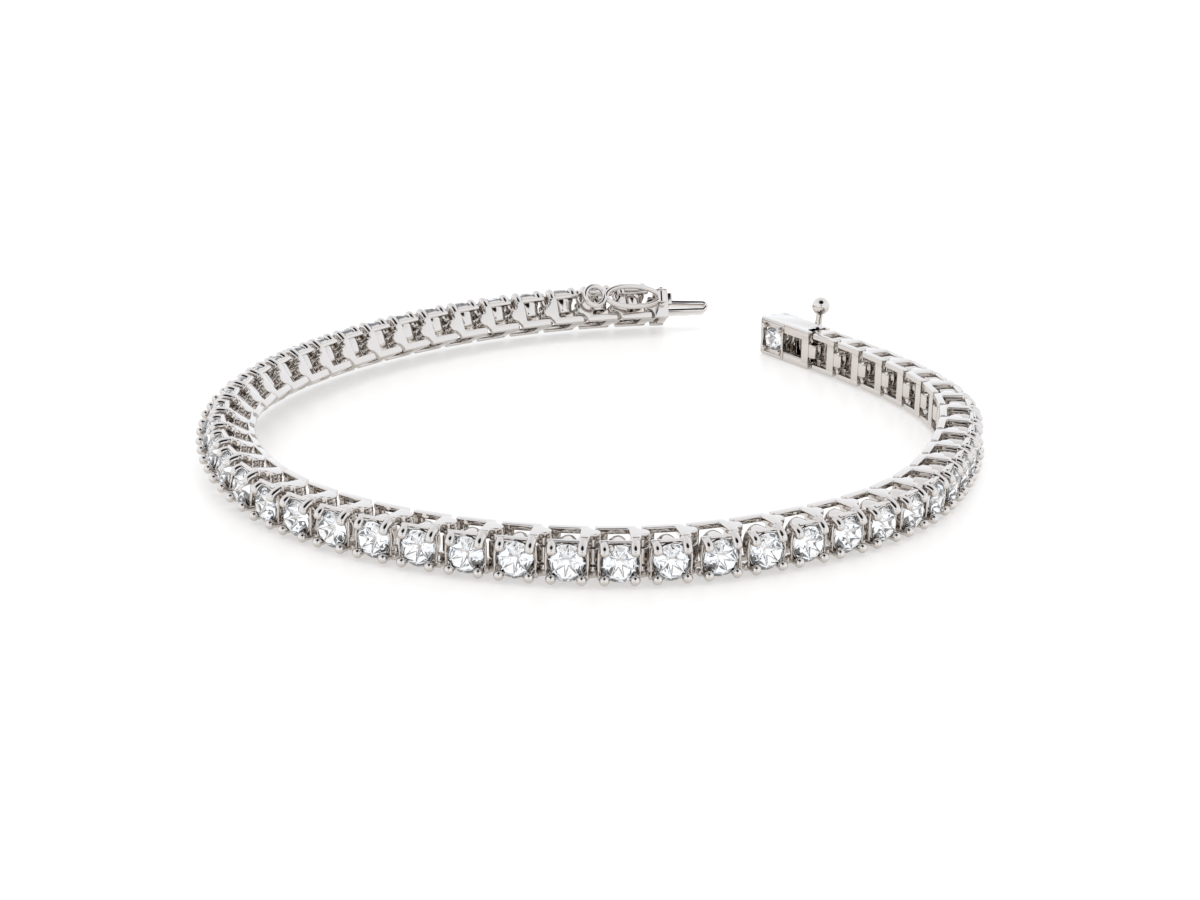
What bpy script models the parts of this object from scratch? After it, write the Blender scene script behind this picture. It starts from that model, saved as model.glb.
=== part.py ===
# Tennis bracelet: fifty pronged links, a box clasp with a ball post, its sprung tongue and a
# figure-eight safety catch. It lies open on its edge, as a loop, with the stones facing outward.
# Metres, +Z up. The surface it lies on is Z = 0 and the loop's middle is the origin.

import math
import bpy
import bmesh
from mathutils import Matrix, Vector

MM = 0.001

# Chain
PITCH = 3.40 * MM              # pivot to pivot along the chain
LINK_GAP = 0.36 * MM           # between two links' frames
LINK_COUNT = 50
BOX_LINKS = 2                  # stones carried by the box clasp
# How the loop lies: turn of the chain at some links, in degrees towards the wrist side
TURN_AT_LINK = ((1, 4.8), (3, 4.8), (8, 4.2), (12, 4.6), (16, 6.4), (19, 6.9), (22, 7.7), (25, 7.1),
                (28, 5.6), (30, 8.4), (32, 8.4), (34, 4.2), (36, 7.0), (38, 8.6), (40, 4.3), (42, 3.0),
                (44, 8.3), (46, 8.9), (48, 4.3), (50, 1.8), (52, -1.3))
# Twist about the chain's own line, in degrees: the far left end leans its stones upward
TWIST_AT_LINK = ((1, 61.0), (9, 61.0), (12, 58.0), (16, 40.0), (19, 20.0), (22, 0.0), (52, 0.0))
HEADING_AT_LINK = (3, -157.1)  # direction of travel of one link, which sets the loop's turn on the table

WELD = 0.10 * MM               # how far soldered pieces run into each other
SET_BACK = 0.05 * MM           # step between two faces that would otherwise lie in one plane
PAST = 1.00 * MM               # how far a cutter runs past the face that it opens

# Link section: +Y is the wrist side, -Y the stone side, Z across the bracelet
INNER_EDGE = 1.20 * MM
OUTER_EDGE = -1.50 * MM
RAIL_INNER = 0.70 * MM         # outer face of the inner rail
RAIL_OUTER = -0.86 * MM        # inner face of the outer rail
PLATE_TOP = 1.69 * MM
PLATE_THICK = 0.45 * MM
PLATE_BOTTOM = PLATE_TOP - PLATE_THICK
BODY_HALF = (PITCH - LINK_GAP) / 2
BAR_BACK = 0.80 * MM           # the front bar starts here
LOW_BACK = -0.94 * MM          # the lower plate starts here, past the nose that enters the link
NOSE_REACH = 0.52 * MM         # how far the nose goes past its pivot
NOSE_HALF = 0.53 * MM
NOSE_MIDDLE = -0.08 * MM
NOSE_TAPER = 0.20 * MM         # the nose narrows by this on each side
KNUCKLE_REACH = 0.56 * MM
KNUCKLE_ROOT = 0.60 * MM       # how far the knuckle runs into its own link
KNUCKLE_HALF = 0.66 * MM       # half height of the rear knuckle
KNUCKLE_OUTER = -0.56 * MM
REAR_BAR_FRONT = -0.50 * MM
REAR_BAR_OUTER = 0.75 * MM
REAR_BAR_IN = 0.04 * MM        # set back from the plates' rear faces
PIN_RADIUS = 0.22 * MM
HOLE_HALF = 0.37 * MM          # the hole in the knuckle is square

# Stone and its cup, turned about the stone's own axis
STONE_SIDES = 8
TABLE_RADIUS = 0.80 * MM
TABLE_Y = -2.25 * MM
GIRDLE_RADIUS = 1.42 * MM
GIRDLE_Y = -1.80 * MM
CUP_FOOT_Y = -0.66 * MM        # the cup closes in a point behind the stone

# Prongs
PRONG_OFFSET = 1.08 * MM
PRONG_TIP_OFFSET = 1.02 * MM
PRONG_ROOT_Z = 1.48 * MM
PRONG_ROOT_Y = -1.44 * MM
PRONG_TIP_Y = -2.34 * MM
PRONG_ROOT = (0.33 * MM, 0.17 * MM)
PRONG_TIP = (0.25 * MM, 0.26 * MM)

# Box clasp, measured from its rear pivot
BOX_LENGTH = BOX_LINKS * PITCH
BOX_FRONT = BOX_LENGTH - 0.10 * MM
BOX_REAR = LINK_GAP / 2
REAR_ROOM_FRONT = 0.85 * MM    # room for the noses of the last link
CAVITY_HALF_Z = 1.08 * MM
CAVITY_OUTER_Y = -0.62 * MM
CAVITY_INNER_Y = 0.74 * MM
CAVITY_REAR = 2.30 * MM
WINDOW_REAR = 1.35 * MM
WINDOW_FRONT = 3.05 * MM
GROOVE_REAR = 3.42 * MM
GROOVE_WIDTH = 0.20 * MM
GROOVE_DEPTH = 0.14 * MM
INNER_STONE_X = PITCH * 1.5
INNER_STONE_RADIUS = 0.95 * MM
INNER_TABLE_RADIUS = 0.55 * MM
INNER_TABLE_RISE = 0.26 * MM
INNER_GIRDLE_RISE = 0.02 * MM
INNER_SEAT_DEPTH = 0.20 * MM
POST_X = 1.05 * MM
POST_RADIUS = 0.28 * MM
POST_ROOT = 0.15 * MM          # how far the stem runs into the plate
FLARE_RADIUS = 0.52 * MM
FLARE_TOP_RADIUS = 0.26 * MM
FLARE_HEIGHT = 0.55 * MM
POST_BALL_RADIUS = 0.72 * MM
POST_BALL_Z = 3.69 * MM
POST_Y = -0.62 * MM
POST_LEAN = 7.0                # degrees towards the rear

# Tongue that the box takes, measured from the pivot of the first link
BLOCK_REAR = -1.55 * MM
TONGUE_TIP = -5.25 * MM
TONGUE_HALF_Z = 0.80 * MM
LEAF = 0.32 * MM
LEAF_INNER_Y = 0.52 * MM
LEAF_OUTER_Y = -0.46 * MM
THUMB_Y = -1.50 * MM
THUMB_REAR = 0.80 * MM         # both from the block's rear face
THUMB_FRONT = 0.40 * MM
BLOCK_FRONT = -0.80 * MM
LEAF_ROOT = 0.20 * MM
LEAF_OUTER_END = 0.45 * MM     # the outer leaf ends free, short of the block

# Safety catch
HINGE_X = -0.80 * MM
HINGE_WIDTH = 1.10 * MM
HINGE_MIDDLE_Y = -HINGE_WIDTH / 2
HINGE_Z = 2.30 * MM
HINGE_PIN = 0.15 * MM
BARREL_BORE = 0.22 * MM
BARREL_RADIUS = 0.42 * MM
LUG_HALF = 0.22 * MM
LUG_THICK = 0.24 * MM
LUG_CLEAR = 0.08 * MM          # between the barrel's end and its lug
LUG_OVER = 0.26 * MM           # above the hinge's axis
PIN_OVER = 0.20 * MM           # the hinge pin's ends run into the lugs
WIRE_RADIUS = 0.24 * MM
RING_WIRE = 0.26 * MM
RING_RADIUS = 0.90 * MM        # centre line of the small ring, which passes over the ball
RING_X = 6.35 * MM             # from the hinge
LOOP_REAR = 0.15 * MM
LOOP_FRONT = 5.25 * MM
LOOP_HALF_WIDTH = 0.95 * MM
CATCH_REST_TILT = 9.0          # degrees that the folded catch stands off the chain

METAL = ("white_gold", (0.80, 0.79, 0.78, 1.0), 0.12, 1.0)
WIRE_METAL = ("polished_wire", (0.82, 0.81, 0.80, 1.0), 0.08, 1.0)


def clear_scene():
    for item in list(bpy.data.objects):
        bpy.data.objects.remove(item, do_unlink=True)


def new_collection(name):
    group = bpy.data.collections.new(name)
    bpy.context.scene.collection.children.link(group)
    return group


def material(name, colour, roughness, metallic):
    made = bpy.data.materials.new(name)
    made.use_nodes = True
    shader = made.node_tree.nodes["Principled BSDF"]
    shader.inputs["Base Color"].default_value = colour
    shader.inputs["Roughness"].default_value = roughness
    shader.inputs["Metallic"].default_value = metallic
    return made


def table(rows, at):
    # straight-line reading of a short table of (link, value)
    if at <= rows[0][0]:
        return rows[0][1]
    for (a, va), (b, vb) in zip(rows, rows[1:]):
        if at <= b:
            return va + (vb - va) * (at - a) / (b - a)
    return rows[-1][1]


def keep(obj, group):
    for owner in list(obj.users_collection):
        owner.objects.unlink(obj)
    group.objects.link(obj)
    return obj


def from_bmesh(name, bm):
    mesh = bpy.data.meshes.new(name)
    bm.normal_update()
    bm.to_mesh(mesh)
    bm.free()
    obj = bpy.data.objects.new(name, mesh)
    CUTTERS.objects.link(obj)
    return obj


def box(name, x, y, z, taper=None):
    # a block between the given limits; taper shrinks the end at low Y by (x half, z half)
    bm = bmesh.new()
    bmesh.ops.create_cube(bm, size=1.0)
    size = Vector((x[1] - x[0], y[1] - y[0], z[1] - z[0]))
    middle = Vector((x[0] + x[1], y[0] + y[1], z[0] + z[1])) / 2
    for vert in bm.verts:
        low = vert.co.y < 0
        vert.co = Vector((vert.co.x * size.x, vert.co.y * size.y, vert.co.z * size.z)) + middle
        if low and taper:
            vert.co.x = taper[0] + math.copysign(taper[2], vert.co.x - middle.x)
            vert.co.z = taper[1] + math.copysign(taper[3], vert.co.z - middle.z)
    return from_bmesh(name, bm)


def rod(name, radius, start, end, sides, end_radius=None):
    start, end = Vector(start), Vector(end)
    bm = bmesh.new()
    bmesh.ops.create_cone(bm, cap_ends=True, segments=sides, radius1=radius,
                          radius2=radius if end_radius is None else end_radius,
                          depth=(end - start).length)
    turn = Vector((0, 0, 1)).rotation_difference(end - start).to_matrix().to_4x4()
    bmesh.ops.transform(bm, matrix=Matrix.Translation((start + end) / 2) @ turn, verts=bm.verts)
    return from_bmesh(name, bm)


def ball(name, radius, centre, segments=10, rings=6):
    bm = bmesh.new()
    bmesh.ops.create_uvsphere(bm, u_segments=segments, v_segments=rings, radius=radius)
    bmesh.ops.translate(bm, vec=Vector(centre), verts=bm.verts)
    return from_bmesh(name, bm)


def as_mesh(obj):
    # replaces a curve or an object with modifiers by its evaluated mesh
    bpy.context.view_layer.update()
    graph = bpy.context.evaluated_depsgraph_get()
    mesh = bpy.data.meshes.new_from_object(obj.evaluated_get(graph))
    bm = bmesh.new()
    bm.from_mesh(mesh)
    bm.transform(obj.matrix_world)
    bmesh.ops.remove_doubles(bm, verts=bm.verts, dist=0.002 * MM)
    bm.to_mesh(mesh)
    bm.free()
    made = bpy.data.objects.new(obj.name + "_mesh", mesh)
    CUTTERS.objects.link(made)
    bpy.data.objects.remove(obj, do_unlink=True)
    return made


def sheet(name, outline, low, high):
    # a flat outline in X and Y, given thickness in Z
    curve = bpy.data.curves.new(name, "CURVE")
    curve.dimensions = "2D"
    curve.fill_mode = "BOTH"
    curve.extrude = (high - low) / 2
    curve.resolution_u = 1
    line = curve.splines.new("POLY")
    line.points.add(len(outline) - 1)
    for point, (x, y) in zip(line.points, outline):
        point.co = (x, y, 0, 1)
    line.use_cyclic_u = True
    obj = bpy.data.objects.new(name, curve)
    obj.location.z = (low + high) / 2
    CUTTERS.objects.link(obj)
    return as_mesh(obj)


def turned(name, profile, sides, phase=0.0):
    # a profile of (radius, height) spun about Z, first point at the top
    mesh = bpy.data.meshes.new(name)
    points = [(0.0, 0.0, profile[0][1])] + [(r, 0.0, h) for r, h in profile] + [(0.0, 0.0, profile[-1][1])]
    if profile[-1][0] == 0.0:
        points.pop()
    edges = [(i, i + 1) for i in range(len(points) - 1)]
    mesh.from_pydata(points, edges, [])
    obj = bpy.data.objects.new(name, mesh)
    CUTTERS.objects.link(obj)
    obj.rotation_euler.z = phase
    screw = obj.modifiers.new("spin", "SCREW")
    screw.steps = sides
    screw.render_steps = sides
    screw.use_merge_vertices = True
    screw.merge_threshold = 0.002 * MM
    made = as_mesh(obj)
    outward(made.data)
    return made


def outward(mesh):
    bm = bmesh.new()
    bm.from_mesh(mesh)
    bmesh.ops.recalc_face_normals(bm, faces=bm.faces)
    bm.to_mesh(mesh)
    bm.free()


def combine(base, others, operation):
    for number, other in enumerate(others):
        other.hide_render = True
        other.display_type = "WIRE"
        step = base.modifiers.new("step_%d" % number, "BOOLEAN")
        step.operation = operation
        step.solver = "EXACT"
        step.object = other
    name = base.name
    made = as_mesh(base)
    made.name = name
    for other in others:
        bpy.data.objects.remove(other, do_unlink=True)
    return made


def tidy(mesh):
    # joins flat neighbours so that every face is a plain plane, then shades round parts smooth
    bm = bmesh.new()
    bm.from_mesh(mesh)
    bmesh.ops.remove_doubles(bm, verts=bm.verts, dist=0.002 * MM)
    bmesh.ops.dissolve_limit(bm, angle_limit=math.radians(0.2), verts=bm.verts, edges=bm.edges)
    bmesh.ops.triangulate(bm, faces=bm.faces)
    bm.to_mesh(mesh)
    bm.free()
    mesh.shade_smooth()
    mesh.set_sharp_from_angle(angle=math.radians(25))


def at_x(obj, x):
    obj.data.transform(Matrix.Translation((x, 0, 0)))
    return obj


def mirrored(obj):
    # a copy on the other side of the plane Z = 0
    mesh = obj.data.copy()
    mesh.transform(Matrix.Scale(-1, 4, Vector((0, 0, 1))))
    mesh.flip_normals()
    made = bpy.data.objects.new(obj.name + "_low", mesh)
    CUTTERS.objects.link(made)
    return made


def stone_in_cup(x):
    # table up along the stone's axis, then laid over so that the table faces -Y
    profile = [(TABLE_RADIUS, -TABLE_Y), (GIRDLE_RADIUS, -GIRDLE_Y), (0.0, -CUP_FOOT_Y)]
    obj = turned("stone_in_cup", profile, STONE_SIDES)
    obj.data.transform(Matrix.Rotation(math.radians(90), 4, "X"))
    return at_x(obj, x)


def prongs(x):
    made = []
    for sx in (-1, 1):
        for sz in (-1, 1):
            px, pz = x + sx * PRONG_OFFSET, sz * PRONG_ROOT_Z
            tip = (x + sx * PRONG_TIP_OFFSET, sz * PRONG_TIP_OFFSET)
            made.append(box("prong", (px - PRONG_ROOT[0], px + PRONG_ROOT[0]), (PRONG_TIP_Y, PRONG_ROOT_Y),
                            (pz - PRONG_ROOT[1], pz + PRONG_ROOT[1]), tip + PRONG_TIP))
    return made


def pin(pivot):
    # the pin soldered between an upper and a lower nose
    return rod("pin", PIN_RADIUS, (pivot, 0, -PLATE_BOTTOM - WELD), (pivot, 0, PLATE_BOTTOM + WELD), 5)


def nose_outline(pivot, back):
    # the rounded front of a plate, which enters the next link, from the inner to the outer side
    low, high = NOSE_MIDDLE - NOSE_HALF, NOSE_MIDDLE + NOSE_HALF
    tip = pivot + NOSE_REACH
    return [(back, high), (tip, high - NOSE_TAPER), (tip, low + NOSE_TAPER), (back, low)]


def knuckle(pivot):
    # the rear knuckle, which sits between the noses of the link behind, with its pin hole
    block = box("knuckle", (pivot - KNUCKLE_REACH, pivot + KNUCKLE_ROOT), (KNUCKLE_OUTER, INNER_EDGE - SET_BACK),
                (-KNUCKLE_HALF, KNUCKLE_HALF))
    hole = box("hole", (pivot - HOLE_HALF, pivot + HOLE_HALF), (-HOLE_HALF, HOLE_HALF), (-PAST, PAST))
    return combine(block, [hole], "DIFFERENCE")


def link_mesh():
    half = PITCH / 2
    plate = sheet("plate", [(-BODY_HALF, INNER_EDGE), (BODY_HALF, INNER_EDGE)] + nose_outline(half, BODY_HALF)
                  + [(BODY_HALF, OUTER_EDGE), (-BODY_HALF, OUTER_EDGE), (-BODY_HALF, RAIL_OUTER),
                     (BAR_BACK, RAIL_OUTER), (BAR_BACK, RAIL_INNER), (-BODY_HALF, RAIL_INNER)],
                  PLATE_BOTTOM, PLATE_TOP)
    low = sheet("low_plate", [(LOW_BACK, INNER_EDGE), (BODY_HALF, INNER_EDGE)] + nose_outline(half, BODY_HALF)
                + [(BODY_HALF, OUTER_EDGE), (LOW_BACK, OUTER_EDGE)], -PLATE_TOP, -PLATE_BOTTOM)
    bar = box("rear_bar", (-BODY_HALF + REAR_BAR_IN, REAR_BAR_FRONT), (REAR_BAR_OUTER, INNER_EDGE - REAR_BAR_IN / 2),
              (-PLATE_BOTTOM - WELD, PLATE_BOTTOM + WELD))
    parts = [low, stone_in_cup(0.0), bar, knuckle(-half), pin(half)] + prongs(0.0)
    whole = combine(plate, parts, "UNION")
    tidy(whole.data)
    mesh = whole.data
    mesh.name = "link"
    bpy.data.objects.remove(whole, do_unlink=True)
    return mesh


def box_clasp_mesh():
    # one soldered body: walls round the tongue's cavity, two outer stones, an inner stone, a ball post
    shell = box("shell", (BOX_REAR, BOX_FRONT), (OUTER_EDGE, INNER_EDGE), (-PLATE_TOP, PLATE_TOP))
    cavity = box("cavity", (CAVITY_REAR, BOX_FRONT + PAST), (CAVITY_OUTER_Y, CAVITY_INNER_Y),
                 (-CAVITY_HALF_Z, CAVITY_HALF_Z))
    rear = box("rear_room", (BOX_REAR - PAST, REAR_ROOM_FRONT), (RAIL_OUTER, RAIL_INNER),
               (-PLATE_TOP - PAST, PLATE_TOP + PAST))
    link_room = box("link_room", (REAR_ROOM_FRONT - SET_BACK, CAVITY_REAR + WELD),
                    (CAVITY_OUTER_Y + 0.4 * SET_BACK, CAVITY_INNER_Y - 0.4 * SET_BACK),
                    (-CAVITY_HALF_Z + 0.6 * SET_BACK, CAVITY_HALF_Z - 0.6 * SET_BACK))
    window = box("window", (WINDOW_REAR, WINDOW_FRONT), (CAVITY_INNER_Y - 2 * WELD, INNER_EDGE + PAST),
                 (-CAVITY_HALF_Z, CAVITY_HALF_Z))
    groove = box("groove", (GROOVE_REAR, GROOVE_REAR + GROOVE_WIDTH), (INNER_EDGE - GROOVE_DEPTH, INNER_EDGE + PAST),
                 (-PLATE_TOP - PAST, PLATE_TOP + PAST))
    shell = combine(shell, [cavity, rear, link_room, window, groove], "DIFFERENCE")
    seat = turned("inner_stone", [(INNER_TABLE_RADIUS, INNER_TABLE_RISE), (INNER_STONE_RADIUS, INNER_GIRDLE_RISE),
                                  (INNER_STONE_RADIUS, -INNER_SEAT_DEPTH)], STONE_SIDES, math.pi / STONE_SIDES)
    seat.data.transform(Matrix.Rotation(math.radians(-90), 4, "X"))
    seat.data.transform(Matrix.Translation((INNER_STONE_X, INNER_EDGE, 0)))
    lean = math.tan(math.radians(POST_LEAN))
    top = Vector((POST_X - lean * (POST_BALL_Z - PLATE_TOP), POST_Y, POST_BALL_Z))
    foot = Vector((POST_X, top.y, PLATE_TOP - POST_ROOT))
    stem = rod("stem", POST_RADIUS, foot, top, 8)
    flare = rod("flare", FLARE_RADIUS, foot + Vector((0, 0, SET_BACK)),
                foot + Vector((-SET_BACK, 0, SET_BACK + FLARE_HEIGHT)), 8, FLARE_TOP_RADIUS)
    knob = ball("knob", POST_BALL_RADIUS, top)
    first, second = PITCH / 2, PITCH * 1.5
    parts = ([stone_in_cup(first), stone_in_cup(second), knuckle(0.0), seat, flare, stem, knob]
             + prongs(first) + prongs(second))
    whole = combine(shell, parts, "UNION")
    tidy(whole.data)
    mesh = whole.data
    mesh.name = "box_clasp"
    bpy.data.objects.remove(whole, do_unlink=True)
    return mesh


def tongue_clasp_mesh():
    # block with the first pair of noses, the folded spring tongue, its thumb tab and the hinge lugs
    front = -LINK_GAP / 2
    plate = sheet("plate", [(BLOCK_REAR, INNER_EDGE), (front, INNER_EDGE)] + nose_outline(0.0, front)
                  + [(front, OUTER_EDGE), (BLOCK_REAR, OUTER_EDGE)],
                  PLATE_BOTTOM, PLATE_TOP)
    block = box("block", (BLOCK_REAR + SET_BACK, BLOCK_FRONT), (OUTER_EDGE + SET_BACK, INNER_EDGE - SET_BACK),
                (-PLATE_BOTTOM - WELD, PLATE_BOTTOM + WELD))
    lower = box("leaf_inner", (TONGUE_TIP, BLOCK_REAR + LEAF_ROOT), (LEAF_INNER_Y - LEAF, LEAF_INNER_Y),
                (-TONGUE_HALF_Z, TONGUE_HALF_Z))
    upper = box("leaf_outer", (TONGUE_TIP, BLOCK_REAR - LEAF_OUTER_END), (LEAF_OUTER_Y, LEAF_OUTER_Y + LEAF),
                (-TONGUE_HALF_Z, TONGUE_HALF_Z))
    fold = rod("fold", (LEAF_INNER_Y - LEAF_OUTER_Y) / 2, (TONGUE_TIP, (LEAF_INNER_Y + LEAF_OUTER_Y) / 2,
               -TONGUE_HALF_Z), (TONGUE_TIP, (LEAF_INNER_Y + LEAF_OUTER_Y) / 2, TONGUE_HALF_Z), 12)
    thumb = box("thumb", (BLOCK_REAR - THUMB_REAR, BLOCK_REAR - THUMB_FRONT), (THUMB_Y, LEAF_OUTER_Y + LEAF),
                (-TONGUE_HALF_Z, TONGUE_HALF_Z))
    lugs = []
    reach = HINGE_WIDTH / 2 + LUG_CLEAR
    for y in (HINGE_MIDDLE_Y - reach - LUG_THICK, HINGE_MIDDLE_Y + reach):
        lugs.append(box("lug", (HINGE_X - LUG_HALF, HINGE_X + LUG_HALF), (y, y + LUG_THICK),
                        (PLATE_TOP - 2 * WELD, HINGE_Z + LUG_OVER)))
    end = HINGE_WIDTH / 2 + PIN_OVER
    axle = rod("hinge_pin", HINGE_PIN, (HINGE_X, HINGE_MIDDLE_Y - end, HINGE_Z),
               (HINGE_X, HINGE_MIDDLE_Y + end, HINGE_Z), 8)
    whole = combine(plate, [mirrored(plate), block, lower, upper, fold, thumb, axle, pin(0.0)] + lugs, "UNION")
    tidy(whole.data)
    mesh = whole.data
    mesh.name = "tongue_clasp"
    bpy.data.objects.remove(whole, do_unlink=True)
    return mesh


def wire(name, points, radius):
    curve = bpy.data.curves.new(name, "CURVE")
    curve.dimensions = "3D"
    curve.resolution_u = 1
    curve.bevel_depth = radius
    curve.bevel_resolution = 1
    line = curve.splines.new("POLY")
    line.points.add(len(points) - 1)
    for point, co in zip(line.points, points):
        point.co = (co[0], co[1], co[2], 1)
    line.use_cyclic_u = True
    obj = bpy.data.objects.new(name, curve)
    CUTTERS.objects.link(obj)
    made = as_mesh(obj)
    outward(made.data)
    return made


def safety_catch_mesh():
    # origin on the hinge's axis; the wire lies in the plane Z = 0 and runs along +X
    ring = [(RING_X + RING_RADIUS * math.cos(a), RING_RADIUS * math.sin(a), 0.0)
            for a in (2 * math.pi * (i + 0.5) / 12 for i in range(12))]
    middle = (LOOP_REAR + LOOP_FRONT) / 2
    reach = (LOOP_FRONT - LOOP_REAR) / 2
    loop = []
    for i in range(16):
        a = 2 * math.pi * i / 16
        loop.append((middle + reach * math.cos(a), LOOP_HALF_WIDTH * math.sin(a) * (1 + 0.1 * math.cos(a)), 0.0))
    half = HINGE_WIDTH / 2
    barrel = rod("barrel", BARREL_RADIUS, (0, -half, 0), (0, half, 0), 10)
    bore = rod("bore", BARREL_BORE, (0, -half - PAST, 0), (0, half + PAST, 0), 8)
    whole = combine(wire("ring", ring, RING_WIRE), [wire("loop", loop, WIRE_RADIUS), barrel], "UNION")
    whole = combine(whole, [bore], "DIFFERENCE")
    tidy(whole.data)
    mesh = whole.data
    mesh.name = "safety_catch"
    bpy.data.objects.remove(whole, do_unlink=True)
    return mesh


def chain_frames():
    # pivots and directions of every link, from the table of turns
    headings = {HEADING_AT_LINK[0]: HEADING_AT_LINK[1]}
    last = LINK_COUNT + BOX_LINKS
    for n in range(HEADING_AT_LINK[0] + 1, last + 1):
        headings[n] = headings[n - 1] + table(TURN_AT_LINK, n)
    for n in range(HEADING_AT_LINK[0] - 1, -1, -1):
        headings[n] = headings[n + 1] - table(TURN_AT_LINK, n + 1)
    headings[last] = headings[last - 1]
    twists = [math.radians(table(TWIST_AT_LINK, n)) for n in range(0, last + 2)]
    heights = [INNER_EDGE * math.sin(t) + PLATE_TOP * math.cos(t) for t in twists]
    pivot = Vector((0, 0, heights[0]))
    rows = []
    for n in range(1, last + 1):
        a = math.radians(headings[n])
        rise = (heights[n + 1] - heights[n - 1]) / 2
        pitch = math.asin(rise / PITCH)
        step = Vector((math.cos(a) * math.cos(pitch), math.sin(a) * math.cos(pitch), math.sin(pitch))) * PITCH
        rows.append((n, pivot.copy(), (a, pitch, twists[n])))
        pivot += step
    clasp = (0, rows[0][1], (math.radians(headings[0]), 0.0, twists[0]))
    return clasp, rows


def lie(turns, point):
    # heading, climb and twist of a piece whose own X runs along the chain
    heading, pitch, twist = turns
    turn = (Matrix.Rotation(heading, 4, "Z") @ Matrix.Rotation(-pitch, 4, "Y")
            @ Matrix.Rotation(-twist, 4, "X"))
    return Matrix.Translation(point) @ turn


def place(name, mesh, matrix, mat, group, parent):
    obj = bpy.data.objects.new(name, mesh)
    group.objects.link(obj)
    if not mesh.materials:
        mesh.materials.append(mat)
    obj.parent = parent
    obj.matrix_world = matrix
    return obj


def build():
    metal = material(*METAL)
    polished = material(*WIRE_METAL)
    root = bpy.data.objects.new("bracelet_middle", None)
    PARTS.objects.link(root)
    clasp, rows = chain_frames()
    link = link_mesh()
    made = []
    for n, pivot, turns in rows[:LINK_COUNT]:
        at = lie(turns, pivot) @ Matrix.Translation((PITCH / 2, 0, 0))
        made.append(place("link_%02d" % n, link, at, metal, PARTS, root))
    n, pivot, turns = rows[LINK_COUNT]
    made.append(place("box_clasp", box_clasp_mesh(), lie(turns, pivot), metal, PARTS, root))
    n, pivot, turns = clasp
    body = lie(turns, pivot)
    made.append(place("tongue_clasp", tongue_clasp_mesh(), body, metal, PARTS, root))
    hinge = Matrix.Translation((HINGE_X, HINGE_MIDDLE_Y, HINGE_Z))
    tilt = Matrix.Rotation(math.radians(-CATCH_REST_TILT), 4, "Y")
    made.append(place("safety_catch", safety_catch_mesh(), body @ hinge @ tilt, polished, PARTS, root))
    centre_loop(made, root)


def centre_loop(made, root):
    # the middle of everything built goes over the origin, and the lowest point on Z = 0
    bpy.context.view_layer.update()
    points = [obj.matrix_world @ vert.co for obj in made for vert in obj.data.vertices]
    low = [min(p[i] for p in points) for i in range(3)]
    high = [max(p[i] for p in points) for i in range(3)]
    root.location = (-(low[0] + high[0]) / 2, -(low[1] + high[1]) / 2, -low[2])
    bpy.context.view_layer.update()


clear_scene()
PARTS = new_collection("tennis_bracelet")
CUTTERS = new_collection("helpers")
build()
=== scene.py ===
"""Tennis bracelet: polished white metal links with clear round stones, dressed on its solid model."""

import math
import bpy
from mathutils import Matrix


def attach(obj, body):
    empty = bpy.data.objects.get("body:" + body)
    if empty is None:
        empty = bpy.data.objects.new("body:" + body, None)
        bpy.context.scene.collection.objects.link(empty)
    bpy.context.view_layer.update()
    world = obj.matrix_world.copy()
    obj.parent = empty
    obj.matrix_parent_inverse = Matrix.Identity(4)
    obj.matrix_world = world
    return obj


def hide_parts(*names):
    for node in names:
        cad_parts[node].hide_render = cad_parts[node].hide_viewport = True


bl_info = {
    "name": "Tennis Bracelet",
    "version": (1, 0, 0),
    "blender": (4, 5, 0),
    "location": "3D View > Sidebar > Bracelet",
    "description": "Settings, brilliants, clasp and safety catch of a line bracelet, with its studio",
    "category": "Add Mesh",
}

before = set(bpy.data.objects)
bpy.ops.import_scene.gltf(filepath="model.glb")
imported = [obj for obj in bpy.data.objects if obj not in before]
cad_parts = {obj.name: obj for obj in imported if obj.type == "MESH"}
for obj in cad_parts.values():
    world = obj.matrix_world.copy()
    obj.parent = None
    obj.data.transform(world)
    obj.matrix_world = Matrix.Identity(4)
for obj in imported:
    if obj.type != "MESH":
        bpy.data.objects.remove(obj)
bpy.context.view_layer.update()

import bpy
import numpy as np
from mathutils import Matrix

MM = 0.001

# How the chain lies, as in the solid model: millimetres, and tables of link number and degrees
PITCH = 3.40
LINK_COUNT = 50
BOX_LINKS = 2
INNER_EDGE = 1.20
PLATE_TOP = 1.69
TURN_AT_LINK = ((1, 4.8), (3, 4.8), (8, 4.2), (12, 4.6), (16, 6.4), (19, 6.9), (22, 7.7), (25, 7.1),
                (28, 5.6), (30, 8.4), (32, 8.4), (34, 4.2), (36, 7.0), (38, 8.6), (40, 4.3), (42, 3.0),
                (44, 8.3), (46, 8.9), (48, 4.3), (50, 1.8), (52, -1.3))
TWIST_AT_LINK = ((1, 61.0), (9, 61.0), (12, 58.0), (16, 40.0), (19, 20.0), (22, 0.0), (52, 0.0))
HEADING_AT_LINK = (3, -157.1)
FIRST_PIVOT = (5.4499, 32.8059, 0.0568)

# Camera, in millimetres and degrees
CAMERA_MIDDLE = (-4.060, -18.643, 0.0)
CAMERA_DISTANCE = 204.0
CAMERA_ELEVATION = 19.067
CAMERA_ROLL = 0.844
CAMERA_LENS = 82.21
CAMERA_SHIFT = (0.0481, 0.05012)

# Light tent: the dark card overhead, the lens opening (degrees, and how soft their edges are) and the lamp
CARD_ELEVATION = 64.0
CARD_REACH = 27.0
LENS_REACH = 8.0
CARD_SOFTNESS = 3.0
LENS_SOFTNESS = 2.0
TENT_STRENGTH = 1.30
LAMP_HEIGHT = 1.2
LAMP_WIDTH = 1.2
LAMP_POWER = 6.0
FLOOR_HALF = 3.0
FLOOR_GLOW = 0.48


# Chain layout

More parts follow.
